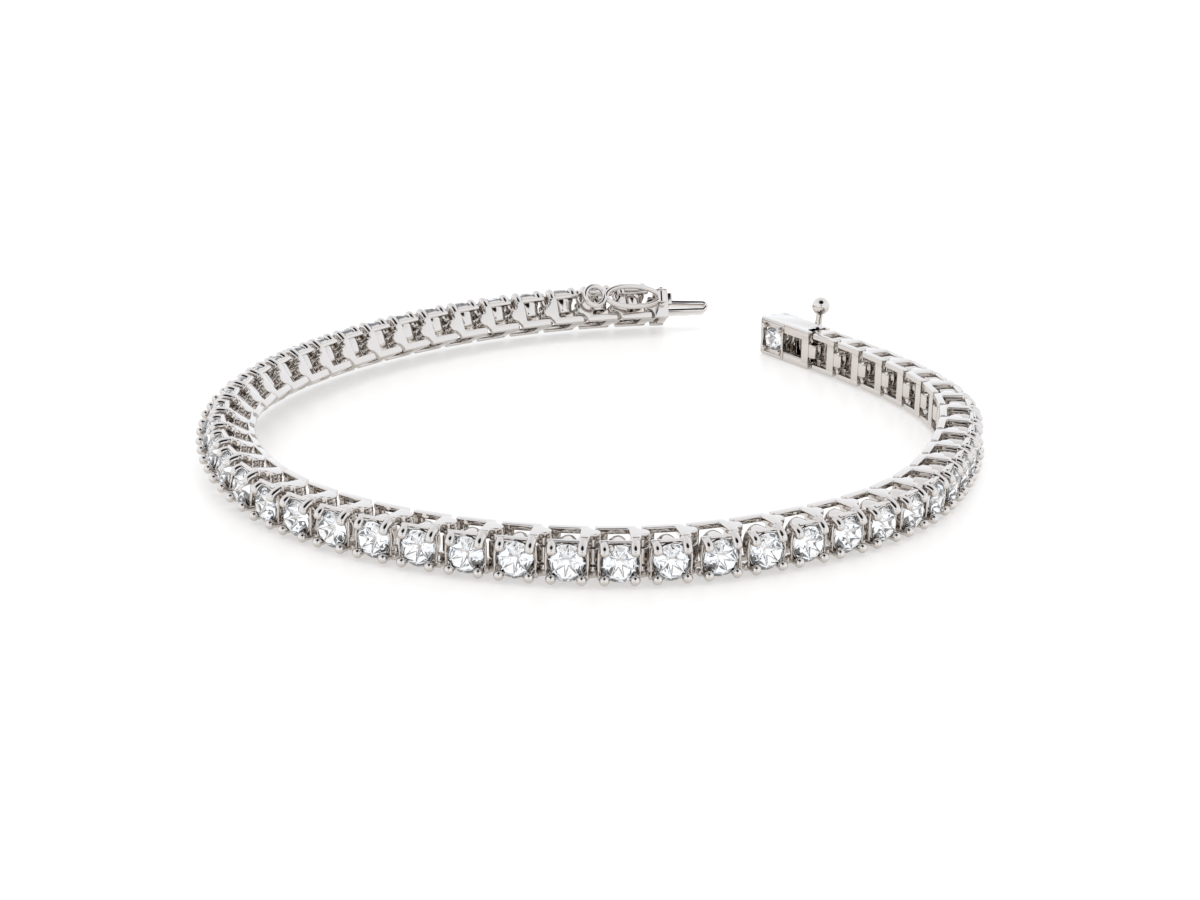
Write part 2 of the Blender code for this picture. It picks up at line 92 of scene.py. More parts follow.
def read_table(rows, at):
    """Straight-line reading of (link, value) rows."""
    return float(np.interp(at, [r[0] for r in rows], [r[1] for r in rows]))


def turn_matrix(axis, degrees):
    """Rotation by the right-hand rule about X, Y or Z."""
    c, s = math.cos(math.radians(degrees)), math.sin(math.radians(degrees))
    i, j = {"X": (1, 2), "Y": (2, 0), "Z": (0, 1)}[axis]
    m = np.eye(3)
    m[i, i] = m[j, j] = c
    m[i, j], m[j, i] = -s, s
    return m


def chain_frames():
    """(rotation, rear pivot in mm) for piece 0, the tongue clasp, links 1 to 50 and the box clasp, 51.
    Headings add up the turns, and the pivots climb with the height that each link's twist needs."""
    last = LINK_COUNT + BOX_LINKS
    headings = {HEADING_AT_LINK[0]: HEADING_AT_LINK[1]}
    for n in range(HEADING_AT_LINK[0] + 1, last + 1):
        headings[n] = headings[n - 1] + read_table(TURN_AT_LINK, n)
    for n in range(HEADING_AT_LINK[0] - 1, -1, -1):
        headings[n] = headings[n + 1] - read_table(TURN_AT_LINK, n + 1)
    twists = [read_table(TWIST_AT_LINK, n) for n in range(last + 2)]
    heights = [INNER_EDGE * math.sin(math.radians(t)) + PLATE_TOP * math.cos(math.radians(t)) for t in twists]
    pivot = np.array([0.0, 0.0, heights[0]])
    rows = []
    for n in range(1, last):
        climb = math.degrees(math.asin((heights[n + 1] - heights[n - 1]) / 2 / PITCH))
        turn = turn_matrix("Z", headings[n]) @ turn_matrix("Y", -climb) @ turn_matrix("X", -twists[n])
        rows.append((turn, pivot.copy()))
        pivot = pivot + turn[:, 0] * PITCH
    clasp = turn_matrix("Z", headings[0]) @ turn_matrix("X", -twists[0])
    rows.insert(0, (clasp, rows[0][1]))
    shift = np.array(FIRST_PIVOT)
    return [(turn, point + shift) for turn, point in rows]


FRAMES = chain_frames()


# Shells: (points, corner indices one face after another, corners in each face)

def as_shell(points, quads, caps=()):
    """A closed surface from a grid's quads and any end faces, turned to face outward by its signed volume."""
    points = np.asarray(points, float)
    quads = np.asarray(quads, int).reshape(-1, 4)
    corners = np.concatenate([quads.ravel()] + [np.asarray(c, int) for c in caps])
    counts = np.concatenate([np.full(len(quads), 4), [len(c) for c in caps]]).astype(int)
    fans = [quads[:, [0, 1, 2]], quads[:, [0, 2, 3]]]
    for cap in caps:
        cap = np.asarray(cap, int)
        fans.append(np.stack([np.full(len(cap) - 2, cap[0]), cap[1:-1], cap[2:]], 1))
    a, b, c = (points[np.concatenate(fans)[:, i]] for i in range(3))
    if np.einsum("ij,ij->i", a, np.cross(b, c)).sum() < 0:
        corners = corners[::-1]
        counts = counts[::-1]
    return points, corners, counts


def grid_quads(rows, columns, wrap_rows=False):
    """Quads of a grid whose columns close on themselves, and whose rows may too."""
    r = np.arange(rows if wrap_rows else rows - 1)[:, None]
    c = np.arange(columns)[None, :]
    down, right = (r + 1) % rows, (c + 1) % columns
    return np.stack([r * columns + c, r * columns + right, down * columns + right,
                     down * columns + c], -1).reshape(-1, 4)


def rounded(points, cut, steps=3):
    """An outline whose corners are eased: each becomes a parabola from cut before to cut after it."""
    points = np.asarray(points, float)
    before, after = np.roll(points, 1, 0) - points, np.roll(points, -1, 0) - points
    long_b, long_a = (np.linalg.norm(v, axis=1, keepdims=True) for v in (before, after))
    cut = np.minimum(np.minimum(np.broadcast_to(np.reshape(cut, (-1, 1)), long_a.shape), long_a * 0.48),
                     long_b * 0.48)
    start, end = points + before / long_b * cut, points + after / long_a * cut
    s = np.linspace(0, 1, steps + 1)[None, :, None]
    bends = (1 - s) ** 2 * start[:, None] + 2 * s * (1 - s) * points[:, None] + s ** 2 * end[:, None]
    return bends.reshape(-1, 2)


def slab(outline, low, high, edge=0.08, steps=3, facing="Z"):
    """An outline given thickness, with edges rounded by a quarter circle: ring i lies inset by
    edge * (1 - sin a) and edge * (1 - cos a) from the face, for a from 0 to 90 degrees."""
    outline = np.asarray(outline, float)
    ahead = np.roll(outline, -1, 0) - outline
    ahead /= np.linalg.norm(ahead, axis=1, keepdims=True)
    area = (outline[:, 0] * np.roll(outline[:, 1], -1) - outline[:, 1] * np.roll(outline[:, 0], -1)).sum()
    inward = np.stack([-ahead[:, 1], ahead[:, 0]], 1) * math.copysign(1, area)
    other = np.roll(inward, 1, 0)
    miter = (inward + other) / np.maximum(1 + (inward * other).sum(1, keepdims=True), 0.35)
    a = np.linspace(0, math.pi / 2, steps + 1)
    into = edge * (1 - np.sin(a))
    rise = edge * (1 - np.cos(a))
    into = np.concatenate([into, into[::-1]])
    height = np.concatenate([low + rise, high - rise[::-1]])
    flat = outline[None] + miter[None] * into[:, None, None]
    points = np.concatenate([flat, np.broadcast_to(height[:, None, None], flat.shape[:2] + (1,))], -1)
    order = {"Z": (0, 1, 2), "Y": (0, 2, 1)}[facing]
    points = points[..., order].reshape(-1, 3)
    count = len(outline)
    return as_shell(points, grid_quads(len(height), count),
                    (np.arange(count)[::-1], np.arange(count) + (len(height) - 1) * count))


def block(x, y, z, edge=0.06, steps=2, corner=0.06):
    """A box between limits, with eased corners and rounded edges."""
    outline = rounded([(x[0], y[0]), (x[1], y[0]), (x[1], y[1]), (x[0], y[1])], corner, steps)
    return slab(outline, z[0], z[1], edge, steps)


def tube(path, radius, sides=14, across=(1.0, 0.0, 0.0), flat=1.0, closed=False):
    """A round profile carried along a path: centre plus radius times (across cos t + other sin t * flat)."""
    path = np.asarray(path, float)
    radius = np.broadcast_to(radius, len(path))[:, None, None]
    if closed:
        ahead = np.roll(path, -1, 0) - np.roll(path, 1, 0)
    else:
        ahead = np.gradient(path, axis=0)
    ahead /= np.linalg.norm(ahead, axis=1, keepdims=True)
    side = np.asarray(across, float) - ahead * (ahead @ np.asarray(across, float))[:, None]
    side /= np.linalg.norm(side, axis=1, keepdims=True)
    other = np.cross(ahead, side)
    t = np.linspace(0, 2 * math.pi, sides, endpoint=False)[None, :, None]
    points = path[:, None] + radius * (side[:, None] * np.cos(t) + other[:, None] * np.sin(t) * flat)
    caps = () if closed else (np.arange(sides)[::-1], np.arange(sides) + (len(path) - 1) * sides)
    return as_shell(points.reshape(-1, 3), grid_quads(len(path), sides, closed), caps)


def spun(profile, steps):
    """A closed profile of (radius, height) carried round the Y axis: (r cos t, height, r sin t)."""
    profile = np.asarray(profile, float)
    t = np.linspace(0, 2 * math.pi, steps, endpoint=False)[None, :]
    r, h = profile[:, :1], profile[:, 1:]
    points = np.stack([r * np.cos(t), np.broadcast_to(h, (len(profile), steps)), r * np.sin(t)], -1)
    return as_shell(points.reshape(-1, 3), grid_quads(len(profile), steps, True))


def ball(centre, radius, rows, steps):
    """A sphere on latitude and longitude, with small flat faces at its poles."""
    v = np.linspace(0.06, math.pi - 0.06, rows)[:, None]
    t = np.linspace(0, 2 * math.pi, steps, endpoint=False)[None, :]
    points = np.stack([np.sin(v) * np.cos(t), np.sin(v) * np.sin(t), np.cos(v) * np.ones_like(t)], -1)
    points = points.reshape(-1, 3) * radius + np.asarray(centre, float)
    last = np.arange(steps) + (rows - 1) * steps
    return as_shell(points, grid_quads(rows, steps), (np.arange(steps)[::-1], last))


def moved(shell, turn=None, shift=(0.0, 0.0, 0.0)):
    """The shell turned about its origin, then shifted."""
    points, corners, counts = shell
    points = points if turn is None else points @ np.asarray(turn).T
    return points + np.asarray(shift), corners, counts


def flipped(shell):
    """The shell on the other side of the chain's middle plane, with its faces turned round to match."""
    points, corners, counts = shell
    points = points.copy()
    points[:, 2] *= -1
    return points, corners[::-1], counts[::-1]


def joined(shells):
    """Several shells as one, with each one's indices moved past those before it."""
    starts = np.cumsum([0] + [len(s[0]) for s in shells[:-1]])
    return (np.concatenate([s[0] for s in shells]),
            np.concatenate([s[1] + at for s, at in zip(shells, starts)]),
            np.concatenate([s[2] for s in shells]))


def make_piece(name, shell, material, body, nodes, sharp=32.0):
    """Puts a shell, in millimetres, into a mesh object that stands for CAD nodes and rides on their body."""
    points, corners, counts = shell
    mesh = bpy.data.meshes.new(name)
    mesh.vertices.add(len(points))
    mesh.vertices.foreach_set("co", (points * MM).astype(np.float32).ravel())
    mesh.loops.add(len(corners))
    mesh.loops.foreach_set("vertex_index", corners.astype(np.int32))
    mesh.polygons.add(len(counts))
    mesh.polygons.foreach_set("loop_start", np.concatenate([[0], np.cumsum(counts)[:-1]]).astype(np.int32))
    mesh.update(calc_edges=True)
    mesh.validate()
    if sharp:
        mesh.shade_smooth()
        mesh.set_sharp_from_angle(angle=math.radians(sharp))
    mesh.materials.append(material)
    obj = bpy.data.objects.new(name, mesh)
    bpy.context.scene.collection.objects.link(obj)
    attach(obj, body)
    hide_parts(*nodes)
    return obj


# The stone

def brilliant(radius, table=0.58, crown=34.5, pavilion=40.8, star=0.80, lower=0.22, girdle=0.035):
    """A round brilliant, table towards +Z and girdle at 0. Every facet's plane follows from its angle: crown
    mains rise by (radius - r cos t) tan crown, and pavilion mains fall by the same with tan pavilion."""
    up, down = math.tan(math.radians(crown)), math.tan(math.radians(pavilion))
    eight = np.radians(np.arange(8) * 45.0)
    half = eight + math.radians(22.5)
    round16 = np.radians(np.arange(16) * 22.5)
    lean = math.cos(math.radians(22.5))

    def ring(angles, r, z):
        return np.stack([r * np.cos(angles), r * np.sin(angles), np.full(len(angles), z)], 1) * radius

    points = np.concatenate([
        ring(eight, table, (1 - table) * up), ring(half, star, (1 - star * lean) * up),
        ring(round16, 1.0, 0.0), ring(round16, 1.0, -girdle),
        ring(half, lower, -girdle - (1 - lower * lean) * down), [[0, 0, -(girdle + down) * radius]]])
    k = np.arange(8)
    n = (k + 1) % 8
    top, mid, high, low, pav = 0, 8, 16, 32, 48
    g = 2 * k
    h, m = (g + 1) % 16, (g + 2) % 16
    before = (k - 1) % 8
    quads = [np.stack([top + k, mid + before, high + g, mid + k], 1),
             np.stack([high + np.arange(16), low + np.arange(16), low + (np.arange(16) + 1) % 16,
                       high + (np.arange(16) + 1) % 16], 1),
             np.stack([low + g, pav + before, np.full(8, 56), pav + k], 1)]
    tris = [np.stack([top + k, mid + k, top + n], 1), np.stack([mid + k, high + g, high + h], 1),
            np.stack([mid + k, high + h, high + m], 1), np.stack([pav + k, low + h, low + g], 1),
            np.stack([pav + k, low + m, low + h], 1)]
    caps = [row for rows in tris for row in rows] + [np.arange(8)]
    quads = np.concatenate(quads)
    points = points.astype(float)
    return facing_out(points, quads, caps)


def facing_out(points, quads, caps):
    """A convex shell whose every face is turned away from its middle."""
    middle = points.mean(0)
    faces = [np.asarray(q) for q in quads] + [np.asarray(c) for c in caps]
    turned = []
    for face in faces:
        a, b, c = points[face[0]], points[face[1]], points[face[2]]
        out = np.dot(np.cross(b - a, c - a), points[face].mean(0) - middle)
        turned.append(face if out > 0 else face[::-1])
    return points, np.concatenate(turned), np.array([len(f) for f in turned])


# The setting, in millimetres: X along the chain, +Y to the wrist, stones face -Y, Z across

GIRDLE_OUT = 1.78
STONE_DROP = 0.07
BODY_HALF = 1.53
PLATE_LOW = 1.22
PLATE_ROUND = 0.09
PLATE_CORNER = 0.14
RAIL_HALF = 1.44
LOWER_REACH = 1.20
LOWER_RAISE = 0.14
NOSE_TIP = 2.22
NOSE_BARREL = 0.52
KNUCKLE_RADIUS = 0.54
KNUCKLE_HALF = 0.60
PIN_RADIUS = 0.20
PIN_HALF = 0.90
PRONG_X = 1.07
PRONG_WIDTH = 0.37
TIP_LENGTH = 0.8
ARM_WIDTH = 0.24
FOOT_BALL = 0.38


def prong_arm(x, rows, width, tip=1.0):
    """A prong along the given (out, high) points, ending in a dome over the stone's edge. The dome's length
    is tip times its width."""
    rows = np.array([(x, -out, high) for out, high in rows])
    s = np.linspace(0, 1, len(rows))
    fine = np.linspace(0, 1, 14)
    path = np.stack([np.interp(fine, s, rows[:, i]) for i in range(3)], 1)
    for _ in range(2):
        path[1:-1] = (path[:-2] + 2 * path[1:-1] + path[2:]) / 4
    end = path[-1] - path[-2]
    end /= np.linalg.norm(end)
    a = np.linspace(0.15, 1.5, 7)[:, None]
    dome = path[-1] + end * np.sin(a) * width * tip
    path = np.concatenate([path, dome])
    radius = np.concatenate([np.full(14, width), width * np.cos(a[:, 0])])
    return tube(path, radius, 16, flat=0.90)


def upper_prongs(middle_x=0.0):
    """The two upper prongs: the front one slopes down from the plate's bar, the rear one from the rail."""
    front = ((1.05, 1.36), (1.42, 1.23), (1.68, 1.10), (1.86, 0.98), (1.95, 0.86), (1.97, 0.78))
    rear = ((1.20, 1.14), (1.45, 1.13), (1.68, 1.06), (1.86, 0.96), (1.95, 0.86), (1.97, 0.78))
    return joined([prong_arm(middle_x + PRONG_X, front, PRONG_WIDTH, TIP_LENGTH),
                   prong_arm(middle_x - PRONG_X, rear, PRONG_WIDTH, TIP_LENGTH)])


def lower_prongs(middle_x=0.0):
    """The two lower prongs: thinner arms under the stone, each with a ball at its tip."""
    rows = ((0.90, -1.24), (1.30, -1.30), (1.65, -1.33), (1.95, -1.26))
    return joined([joined([prong_arm(x, rows, ARM_WIDTH), ball((x, -2.10, -1.20), FOOT_BALL, 14, 20)])
                   for x in (middle_x - PRONG_X, middle_x + PRONG_X)])


def cup(middle_x=0.0):
    """The bowl round the stone: a thin turned wall from under the girdle to an open foot."""
    profile = [(1.30, -1.64), (1.38, -1.70), (1.43, -1.64), (1.43, -1.40), (1.33, -1.05), (1.16, -0.74),
               (1.05, -0.70), (0.98, -0.76), (1.05, -0.98), (1.22, -1.36)]
    return joined([moved(spun(profile, 44), shift=(middle_x, 0, -STONE_DROP)), basket_back(middle_x)])


def basket_back(middle_x):
    """The basket behind the stone, an oval tube: (a cos t, height, b sin t), narrow along the chain so
    that the next link's knuckle can turn, and as tall as the plates' windows let it be."""
    rows = np.array([(1.24, 1.34, -1.20), (1.16, 1.40, -0.95), (1.06, 1.41, -0.62), (1.02, 1.40, -0.25),
                     (1.00, 1.38, 0.02), (0.95, 1.33, 0.10), (0.86, 1.24, 0.10), (0.82, 1.18, 0.02),
                     (0.84, 1.16, -0.60), (0.95, 1.20, -1.10)])
    t = np.linspace(0, 2 * math.pi, 40, endpoint=False)[None, :]
    points = np.stack([rows[:, :1] * np.cos(t) + middle_x, np.broadcast_to(rows[:, 2:], (len(rows), 40)),
                       rows[:, 1:2] * np.sin(t)], -1)
    return as_shell(points.reshape(-1, 3), grid_quads(len(rows), 40, True))


# The plates' outlines, (along, to the wrist): the front's nose, and the rail on the wrist side
NOSE_OUTLINE = [(BODY_HALF, -0.80), (1.75, -0.60), (2.02, -0.55), (NOSE_TIP, -0.30), (NOSE_TIP, 0.12),
                (2.05, 0.38), (1.72, 0.46), (1.40, 0.85), (1.30, INNER_EDGE)]
WRIST_RAIL = [(-1.52, INNER_EDGE), (-1.52, 0.66), (-1.25, 0.60), (0.72, 0.60), (0.80, 0.52)]


def plate(outline):
    """A plate with eased corners and rounded edges."""
    return slab(rounded(outline, PLATE_CORNER, 3), PLATE_LOW, PLATE_TOP, PLATE_ROUND, 3)


def upper_plate():
    """The plate: its wrist rail and front bar with the nose, and the lower rail that the prongs stand on."""
    bar = [(0.80, -1.16), (0.90, -1.26), (1.43, -1.26), (BODY_HALF, -1.16)]
    rail = block((-RAIL_HALF, RAIL_HALF), (-1.50, -1.16), (1.14, 1.48), 0.10, 3, 0.14)
    return joined([plate(WRIST_RAIL + bar + NOSE_OUTLINE), rail])


def lower_plate():
    """The plate below: inner and outer rails joined by the front bar, open at the rear for the nose."""
    y = -LOWER_REACH
    rail = [(0.80, y + 0.72), (0.72, y + 0.64), (-1.20, y + 0.64), (-RAIL_HALF, y + 0.55),
            (-RAIL_HALF, y + 0.10), (-1.30, y), (RAIL_HALF, y), (BODY_HALF, y + 0.10)]
    return moved(flipped(plate(WRIST_RAIL + rail + NOSE_OUTLINE)), shift=(0, 0, LOWER_RAISE))


def round_end(pivot, radius, start, stop):
    """Points on an arc about a pivot on the chain's line, angles in degrees."""
    a = np.radians(np.linspace(start, stop, 11))
    return [(pivot + radius * math.cos(t), radius * math.sin(t)) for t in a]


def nose_block():
    """The rounded barrel under the plate's nose, which the next link's knuckle meets."""
    outline = [(1.05, 0.40), (1.05, -0.30)] + round_end(PITCH / 2, NOSE_BARREL, 210, 410)
    return slab(outline, 0.72, PLATE_LOW + 0.1, 0.07, 2)


def gallery():
    """The fine double rail between the upper prongs, on the face of the rail that they stand on."""
    rails = []
    for y, z, r in ((-1.53, 1.39, 0.09), (-1.57, 1.21, 0.085)):
        rails.append(tube([(x, y, z) for x in (-0.80, 0.0, 0.80)], r, 10, across=(0, 1, 0)))
    return joined(rails)


def knuckle_block():
    """The barrel about a pivot, with its arm to the bar on the wrist side."""
    r = KNUCKLE_RADIUS
    outline = [(r, 0.30), (r, 1.10), (-0.36, 1.10), (-r, 0.92)] + round_end(0.0, r, 180, 360)
    return slab(outline, -KNUCKLE_HALF, KNUCKLE_HALF, 0.08, 3)


def hinge_pin(x):
    """The pin across the chain at a pivot."""
    return tube([(x, 0, -PIN_HALF), (x, 0, PIN_HALF)], PIN_RADIUS, 12)


def rear_frame():
    """The bar on the wrist side, the knuckle that reaches back to the pivot, and its pin."""
    bar = block((-1.50, -0.62), (0.74, 1.18), (-1.26, 1.30), 0.10, 3, 0.10)
    knuckle = moved(knuckle_block(), shift=(-PITCH / 2, 0, 0))
    return joined([bar, knuckle, hinge_pin(PITCH / 2)])


def side_rails():
    """The thin upright at each side of the stone, bowed out a little between the prongs."""
    z = np.linspace(-1.0, 1.0, 9)
    rails = []
    for side in (-1, 1):
        path = np.stack([side * (1.40 + 0.07 * (1 - z ** 2)), np.full(len(z), -1.62), z], 1)
        rails.append(tube(path, 0.085, 10, across=(0, 1, 0)))
    return joined(rails)


def link_setting():
    """One link's metal, in millimetres about its middle."""
    upper = [upper_plate(), nose_block(), gallery(), upper_prongs()]
    lower = [lower_plate(), flipped(nose_block()), lower_prongs()]
    return joined(upper + lower + [cup(), side_rails(), rear_frame()])


def stone_shell(middle_x, turn_degrees, tilt, radius):
    """A brilliant laid over so that its table faces -Y, at its girdle's place in the cup."""
    shell = brilliant(radius)
    turn = turn_matrix("X", 90 + tilt[0]) @ turn_matrix("Y", tilt[1]) @ turn_matrix("Z", turn_degrees)
    return moved(shell, turn, (middle_x, -GIRDLE_OUT, -STONE_DROP))


# Materials

def material_nodes(name):
    """A new material with its nodes, links and shader."""
    made = bpy.data.materials.new(name)
    made.use_nodes = True
    return made, made.node_tree.nodes, made.node_tree.links, made.node_tree.nodes["Principled BSDF"]


def hand_polish_group():
    """Fine polishing marks and slow waviness: roughness and a height for bump, from Object coordinates."""
    found = bpy.data.node_groups.get("hand_polish")
    if found:
        return found
    group = bpy.data.node_groups.new("hand_polish", "ShaderNodeTree")
    face = group.interface
    scale = face.new_socket("Scale", in_out="INPUT", socket_type="NodeSocketFloat")
    scale.default_value = 900.0
    low = face.new_socket("Smooth", in_out="INPUT", socket_type="NodeSocketFloat")
    low.default_value = 0.05
    high = face.new_socket("Dull", in_out="INPUT", socket_type="NodeSocketFloat")
    high.default_value = 0.14
    face.new_socket("Roughness", in_out="OUTPUT", socket_type="NodeSocketFloat")
    face.new_socket("Height", in_out="OUTPUT", socket_type="NodeSocketFloat")
    nodes, links = group.nodes, group.links
    inputs, outputs = nodes.new("NodeGroupInput"), nodes.new("NodeGroupOutput")
    place = nodes.new("ShaderNodeTexCoord")
    waves = nodes.new("ShaderNodeTexNoise")
    waves.inputs["Detail"].default_value = 3.0
    links.new(place.outputs["Object"], waves.inputs["Vector"])
    links.new(inputs.outputs["Scale"], waves.inputs["Scale"])
    spread = nodes.new("ShaderNodeMapRange")
    spread.inputs["From Min"].default_value = 0.35
    spread.inputs["From Max"].default_value = 0.70
    links.new(waves.outputs["Fac"], spread.inputs["Value"])
    links.new(inputs.outputs["Smooth"], spread.inputs["To Min"])
    links.new(inputs.outputs["Dull"], spread.inputs["To Max"])
    links.new(spread.outputs["Result"], outputs.inputs["Roughness"])
    links.new(waves.outputs["Fac"], outputs.inputs["Height"])
    return group


def polished_metal(name, colour, smooth, dull):
    """White gold, with a hand-polished surface."""
    made, nodes, links, shader = material_nodes(name)
    shader.inputs["Base Color"].default_value = (*colour, 1.0)
    shader.inputs["Metallic"].default_value = 1.0
    polish = nodes.new("ShaderNodeGroup")
    polish.node_tree = hand_polish_group()
    polish.inputs["Smooth"].default_value = smooth
    polish.inputs["Dull"].default_value = dull
    bump = nodes.new("ShaderNodeBump")
    bump.inputs["Strength"].default_value = 0.05
    bump.inputs["Distance"].default_value = 0.00005
    links.new(polish.outputs["Roughness"], shader.inputs["Roughness"])
    links.new(polish.outputs["Height"], bump.inputs["Height"])
    links.new(bump.outputs["Normal"], shader.inputs["Normal"])
    return made


def clear_stone(name, colour, ior):
    """A clear, colourless stone."""
    made, _, _, shader = material_nodes(name)
    shader.inputs["Base Color"].default_value = (*colour, 1.0)
    shader.inputs["Roughness"].default_value = 0.0
    shader.inputs["IOR"].default_value = ior
    shader.inputs["Transmission Weight"].default_value = 1.0
    return made


def pale_floor(name, colour):
    """A pale light table: a faintly glossy top that glows a little from below."""
    made, _, _, shader = material_nodes(name)
    shader.inputs["Base Color"].default_value = (*colour, 1.0)
    shader.inputs["Roughness"].default_value = 0.35
    shader.inputs["Specular IOR Level"].default_value = 0.25
    shader.inputs["Emission Color"].default_value = (1.0, 1.0, 1.0, 1.0)
    shader.inputs["Emission Strength"].default_value = FLOOR_GLOW
    return made


def shared_material(key, make):
    """One material of each finish, made the first time that a piece asks for it."""
    return bpy.data.materials.get(key) or make()


# Sizes and colours

class BraceletSettings(bpy.types.PropertyGroup):
    """Sizes and colours of the bracelet that a user would change."""
    stone_diameter: bpy.props.FloatProperty(
        name="Stone diameter", description="Across the girdle of each outer stone", default=2.74 * MM,
        min=1 * MM, max=4 * MM, unit="LENGTH", precision=4)
    inner_stone_diameter: bpy.props.FloatProperty(
        name="Inner stone diameter", description="Across the stone on the clasp's wrist side",
        default=2.2 * MM, min=1 * MM, max=3 * MM, unit="LENGTH", precision=4)
    wire_diameter: bpy.props.FloatProperty(
        name="Catch wire diameter", description="Thickness of the safety catch's wire", default=0.48 * MM,
        min=0.2 * MM, max=0.6 * MM, unit="LENGTH", precision=4)
    metal_colour: bpy.props.FloatVectorProperty(
        name="Metal", description="Colour of the polished white metal", subtype="COLOR", size=3,
        default=(0.645, 0.604, 0.570), min=0.0, max=1.0)
    stone_colour: bpy.props.FloatVectorProperty(
        name="Stone", description="Tint of the clear stones", subtype="COLOR", size=3,
        default=(1.0, 1.0, 1.0), min=0.0, max=1.0)
    stone_ior: bpy.props.FloatProperty(
        name="Stone index", description="Index of refraction of the stones", default=2.4, min=1.3, max=2.7)
    floor_colour: bpy.props.FloatVectorProperty(
        name="Floor", description="Colour of the table top", subtype="COLOR", size=3,
        default=(0.46, 0.44, 0.42), min=0.0, max=1.0)


def settings():
    """The scene's own sizes and colours."""
    return bpy.context.scene.bracelet


def metal_finish():
    """The polish of the settings and the clasp."""
    name = "white_gold_polished"
    return shared_material(name, lambda: polished_metal(name, settings().metal_colour, 0.05, 0.12))


def wire_finish():
    """The catch's finer polish."""
    name = "white_gold_wire"
    return shared_material(name, lambda: polished_metal(name, settings().metal_colour, 0.04, 0.09))


def stone_finish():
    """The stones' clear finish."""
    name = "clear_brilliant"
    return shared_material(name, lambda: clear_stone(name, settings().stone_colour, settings().stone_ior))


def node_names(first, last):
    """Names of the solids from one link to another."""
    return ["link_%02d" % n for n in range(first, last + 1)]


# Operators: one for each piece or group of like pieces

GROUP = 10


class BRACELET_OT_settings(bpy.types.Operator):
    """Make the fifty pronged link settings, in groups of ten"""
    bl_idname = "bracelet.settings"
    bl_label = "Link Settings"

    def execute(self, context):
        setting = link_setting()
        centre = np.array([PITCH / 2, 0, 0])
        for first in range(1, LINK_COUNT + 1, GROUP):
            last = first + GROUP - 1
            shells = []
            for n in range(first, last + 1):
                turn, pivot = FRAMES[n]
                shells.append(moved(moved(setting, shift=centre), turn, pivot))
            make_piece("settings_%02d_%02d" % (first, last), joined(shells), metal_finish(), "bracelet",
                       node_names(first, last))
        return {"FINISHED"}


class BRACELET_OT_stones(bpy.types.Operator):
    """Set a round brilliant in each link"""
    bl_idname = "bracelet.stones"
    bl_label = "Stones"

    def execute(self, context):
        rng = np.random.default_rng(7)
        radius = settings().stone_diameter / MM / 2
        shells = []
        for n in range(1, LINK_COUNT + 1):
            turn, pivot = FRAMES[n]
            stone = stone_shell(PITCH / 2, rng.uniform(0, 45), rng.uniform(-1.5, 1.5, 2), radius)
            shells.append(moved(stone, turn, pivot))
        make_piece("link_stones", joined(shells), stone_finish(), "bracelet",
                   node_names(1, LINK_COUNT), sharp=0)
        return {"FINISHED"}


class BRACELET_OT_box_clasp(bpy.types.Operator):
    """Make the box clasp with its ball post and its three stones"""
    bl_idname = "bracelet.box_clasp"
    bl_label = "Box Clasp"

    def execute(self, context):
        turn, pivot = FRAMES[LINK_COUNT + 1]
        make_piece("box_clasp_body", moved(box_clasp_metal(), turn, pivot), metal_finish(), "bracelet",
                   ["box_clasp"])
        radius = settings().stone_diameter / MM / 2
        stones = [stone_shell(PITCH * 0.5, 10, (0.5, -0.5), radius),
                  stone_shell(PITCH * 1.5, 31, (-0.4, 0.3), radius), inner_stone()]
        make_piece("box_clasp_stones", moved(joined(stones), turn, pivot), stone_finish(), "bracelet",
                   ["box_clasp"], sharp=0)
        return {"FINISHED"}


class BRACELET_OT_tongue_clasp(bpy.types.Operator):
    """Make the sprung tongue with its hinge block"""
    bl_idname = "bracelet.tongue_clasp"
    bl_label = "Tongue Clasp"

    def execute(self, context):
        turn, pivot = FRAMES[0]
        make_piece("tongue_clasp_body", moved(tongue_clasp_metal(), turn, pivot), metal_finish(), "bracelet",
                   ["tongue_clasp"])
        return {"FINISHED"}


class BRACELET_OT_safety_catch(bpy.types.Operator):
    """Make the figure-eight safety catch"""
    bl_idname = "bracelet.safety_catch"
    bl_label = "Safety Catch"

    def execute(self, context):
        turn, pivot = FRAMES[0]
        local = moved(safety_catch_metal(), turn_matrix("Y", -CATCH_TILT), HINGE)
        make_piece("safety_catch_wire", moved(local, turn, pivot), wire_finish(), "safety_catch",
                   ["safety_catch"])
        return {"FINISHED"}


# Box clasp, in millimetres from its rear pivot

BOX_REAR = 0.18
BOX_FRONT = 6.70
INNER_STONE_X = 5.02
FRAME_HALF = 1.52
BEAD_OFFSET = 1.02
BEAD = 0.25
POST = (1.05, -0.62)
POST_BALL = 0.78
POST_BALL_Z = 3.69
POST_LEAN = 7.0


